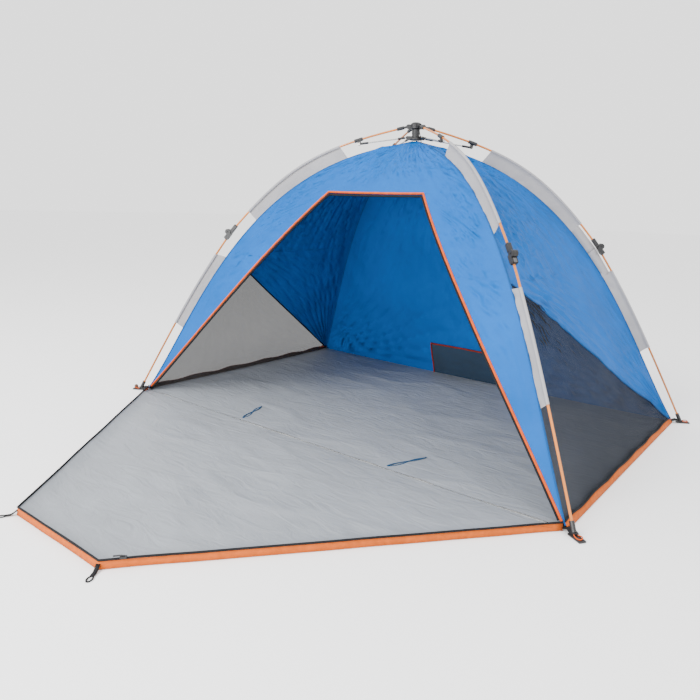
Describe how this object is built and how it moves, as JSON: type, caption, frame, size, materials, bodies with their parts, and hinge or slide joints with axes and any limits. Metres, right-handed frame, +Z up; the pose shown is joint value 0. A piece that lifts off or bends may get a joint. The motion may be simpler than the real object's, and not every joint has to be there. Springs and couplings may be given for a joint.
{
  "type": "folding beach shelter tent",
  "caption": "Fabric beach shelter on a fold-up umbrella frame, with curved jointed poles, a floor, a trapezoid doorway, mesh side vents and a zip-up porch flap.",
  "frame": {"origin": "on the ground under the crown, at the middle of the underside of the floor sheet", "axes": "+Z up, -Y out of the doorway, +X to the right as one stands in front and looks in at the doorway"},
  "size_m": [2.2394, 2.4802, 1.287],
  "materials": {
    "canopy_cloth": "woven polyester, light sheen",
    "mesh": "fine open netting",
    "sleeve_cloth": "coated cloth",
    "ground_sheet": "woven polyethylene, slight shine",
    "orange_tape": "woven tape",
    "pole": "painted fibreglass rod",
    "black_plastic": "moulded, fine grain",
    "grey_plastic": "moulded",
    "strut_metal": "thin rod with moulded ends",
    "webbing": "woven webbing"
  },
  "bodies": {
    "canopy": {"crown_hub": "black_plastic", "front_panel": "canopy_cloth", "back_panel": "canopy_cloth", "left_wall": "canopy_cloth", "left_mesh": "mesh", "right_wall": "canopy_cloth", "right_mesh": "mesh", "vent_window": "mesh", "door_piping": "orange_tape", "floor_sheet": "ground_sheet"},
    "runner": {"runner_hub": "black_plastic"},
    "upper_front_right": {"crown_lever_front_right": "black_plastic", "upper_pole_front_right": "pole", "strut_bracket_front_right": "black_plastic", "knee_upper_front_right": "black_plastic", "upper_sleeve_front_right": "sleeve_cloth"},
    "lower_front_right": {"knee_lower_front_right": "black_plastic", "lower_pole_front_right": "pole", "foot_front_right": "black_plastic", "lower_sleeve_front_right": "sleeve_cloth"},
    "lock_front_right": {"knee_lock_front_right": "grey_plastic"},
    "strut_front_right": {"brace_strut_front_right": "strut_metal"},
    "upper_back_right": {"crown_lever_back_right": "black_plastic", "upper_pole_back_right": "pole", "strut_bracket_back_right": "black_plastic", "knee_upper_back_right": "black_plastic", "upper_sleeve_back_right": "sleeve_cloth"},
    "lower_back_right": {"knee_lower_back_right": "black_plastic", "lower_pole_back_right": "pole", "foot_back_right": "black_plastic", "lower_sleeve_back_right": "sleeve_cloth"},
    "lock_back_right": {"knee_lock_back_right": "grey_plastic"},
    "strut_back_right": {"brace_strut_back_right": "strut_metal"},
    "upper_back_left": {"crown_lever_back_left": "black_plastic", "upper_pole_back_left": "pole", "strut_bracket_back_left": "black_plastic", "knee_upper_back_left": "black_plastic", "upper_sleeve_back_left": "sleeve_cloth"},
    "lower_back_left": {"knee_lower_back_left": "black_plastic", "lower_pole_back_left": "pole", "foot_back_left": "black_plastic", "lower_sleeve_back_left": "sleeve_cloth"},
    "lock_back_left": {"knee_lock_back_left": "grey_plastic"},
    "strut_back_left": {"brace_strut_back_left": "strut_metal"},
    "upper_front_left": {"crown_lever_front_left": "black_plastic", "upper_pole_front_left": "pole", "strut_bracket_front_left": "black_plastic", "knee_upper_front_left": "black_plastic", "upper_sleeve_front_left": "sleeve_cloth"},
    "lower_front_left": {"knee_lower_front_left": "black_plastic", "lower_pole_front_left": "pole", "foot_front_left": "black_plastic", "lower_sleeve_front_left": "sleeve_cloth"},
    "lock_front_left": {"knee_lock_front_left": "grey_plastic"},
    "strut_front_left": {"brace_strut_front_left": "strut_metal"},
    "porch": {"porch_sheet": "ground_sheet", "porch_zip_band": "orange_tape", "peg_loop_left": "webbing", "peg_loop_right": "webbing"},
    "slider": {"zip_slider": "black_plastic"}
  },
  "joints": [
    {"name": "frame_fold", "type": "hinge", "parent": "canopy", "child": "upper_front_right", "pos_m": [0.02854, -0.01848, 1.269], "axis": [0.5436, 0.8394, 0], "range_deg": [0, 54], "deforming": ["front_panel", "back_panel", "left_wall", "left_mesh", "right_wall", "right_mesh", "vent_window", "door_piping", "floor_sheet", "upper_sleeve_front_right", "lower_sleeve_front_right", "upper_sleeve_back_right", "lower_sleeve_back_right", "upper_sleeve_back_left", "lower_sleeve_back_left", "upper_sleeve_front_left", "lower_sleeve_front_left"]},
    {"name": "fold_back_right", "type": "hinge", "parent": "canopy", "child": "upper_back_right", "pos_m": [0.02854, 0.01848, 1.269], "axis": [-0.5436, 0.8394, 0], "range_deg": [0, 54.6]},
    {"name": "fold_back_left", "type": "hinge", "parent": "canopy", "child": "upper_back_left", "pos_m": [-0.02854, 0.01848, 1.269], "axis": [-0.5436, -0.8394, 0], "range_deg": [0, 54.6]},
    {"name": "fold_front_left", "type": "hinge", "parent": "canopy", "child": "upper_front_left", "pos_m": [-0.02854, -0.01848, 1.269], "axis": [0.5436, -0.8394, 0], "range_deg": [0, 54.6]},
    {"name": "runner_slide", "type": "slide", "parent": "canopy", "child": "runner", "axis": [0, 0, -1], "range_m": [0, 0.376]},
    {"name": "knee_front_right", "type": "hinge", "parent": "upper_front_right", "child": "lower_front_right", "pos_m": [0.7052, -0.4567, 0.78813], "axis": [-0.5436, -0.8394, 0], "range_deg": [0, 187]},
    {"name": "strut_swing_front_right", "type": "hinge", "parent": "runner", "child": "strut_front_right", "pos_m": [0.03022, -0.01957, 1.222], "axis": [0.5436, 0.8394, 0], "range_deg": [0, 83.5]},
    {"name": "knee_back_right", "type": "hinge", "parent": "upper_back_right", "child": "lower_back_right", "pos_m": [0.7052, 0.4567, 0.78813], "axis": [0.5436, -0.8394, 0], "range_deg": [0, 187]},
    {"name": "strut_swing_back_right", "type": "hinge", "parent": "runner", "child": "strut_back_right", "pos_m": [0.03022, 0.01957, 1.222], "axis": [-0.5436, 0.8394, 0], "range_deg": [0, 83.5]},
    {"name": "knee_back_left", "type": "hinge", "parent": "upper_back_left", "child": "lower_back_left", "pos_m": [-0.7052, 0.4567, 0.78813], "axis": [0.5436, 0.8394, 0], "range_deg": [0, 187]},
    {"name": "strut_swing_back_left", "type": "hinge", "parent": "runner", "child": "strut_back_left", "pos_m": [-0.03022, 0.01957, 1.222], "axis": [-0.5436, -0.8394, 0], "range_deg": [0, 83.5]},
    {"name": "knee_front_left", "type": "hinge", "parent": "upper_front_left", "child": "lower_front_left", "pos_m": [-0.7052, -0.4567, 0.78813], "axis": [-0.5436, 0.8394, 0], "range_deg": [0, 187]},
    {"name": "strut_swing_front_left", "type": "hinge", "parent": "runner", "child": "strut_front_left", "pos_m": [-0.03022, -0.01957, 1.222], "axis": [0.5436, -0.8394, 0], "range_deg": [0, 83.5]},
    {"name": "lock_press_front_right", "type": "slide", "parent": "lower_front_right", "child": "lock_front_right", "axis": [-0.6632, 0.4295, -0.6129], "range_m": [0, 0.003], "stiffness_N_per_m": 400},
    {"name": "lock_press_back_right", "type": "slide", "parent": "lower_back_right", "child": "lock_back_right", "axis": [-0.6632, -0.4295, -0.6129], "range_m": [0, 0.003], "stiffness_N_per_m": 400},
    {"name": "lock_press_back_left", "type": "slide", "parent": "lower_back_left", "child": "lock_back_left", "axis": [0.6632, -0.4295, -0.6129], "range_m": [0, 0.003], "stiffness_N_per_m": 400},
    {"name": "lock_press_front_left", "type": "slide", "parent": "lower_front_left", "child": "lock_front_left", "axis": [0.6632, 0.4295, -0.6129], "range_m": [0, 0.003], "stiffness_N_per_m": 400},
    {"name": "porch_lift", "type": "hinge", "parent": "canopy", "child": "porch", "pos_m": [0, -0.6815, 0.002], "axis": [-1, 0, 0], "range_deg": [0, 107]},
    {"name": "zip_slide", "type": "slide", "parent": "porch", "child": "slider", "axis": [0.6304, 0.7762, 0], "range_m": [0, 1.12]}
  ],
  "couplings": [
    {"joint": "fold_back_right", "follows": "frame_fold", "ratio": 1},
    {"joint": "fold_back_left", "follows": "frame_fold", "ratio": 1},
    {"joint": "fold_front_left", "follows": "frame_fold", "ratio": 1},
    {"joint": "runner_slide", "follows": "frame_fold", "m_per_rad": 0.39576},
    {"joint": "knee_front_right", "follows": "frame_fold", "ratio": 3.4444},
    {"joint": "strut_swing_front_right", "follows": "frame_fold", "ratio": 1.5315},
    {"joint": "knee_back_right", "follows": "frame_fold", "ratio": 3.4444},
    {"joint": "strut_swing_back_right", "follows": "frame_fold", "ratio": 1.5315},
    {"joint": "knee_back_left", "follows": "frame_fold", "ratio": 3.4444},
    {"joint": "strut_swing_back_left", "follows": "frame_fold", "ratio": 1.5315},
    {"joint": "knee_front_left", "follows": "frame_fold", "ratio": 3.4444},
    {"joint": "strut_swing_front_left", "follows": "frame_fold", "ratio": 1.5315}
  ]
}
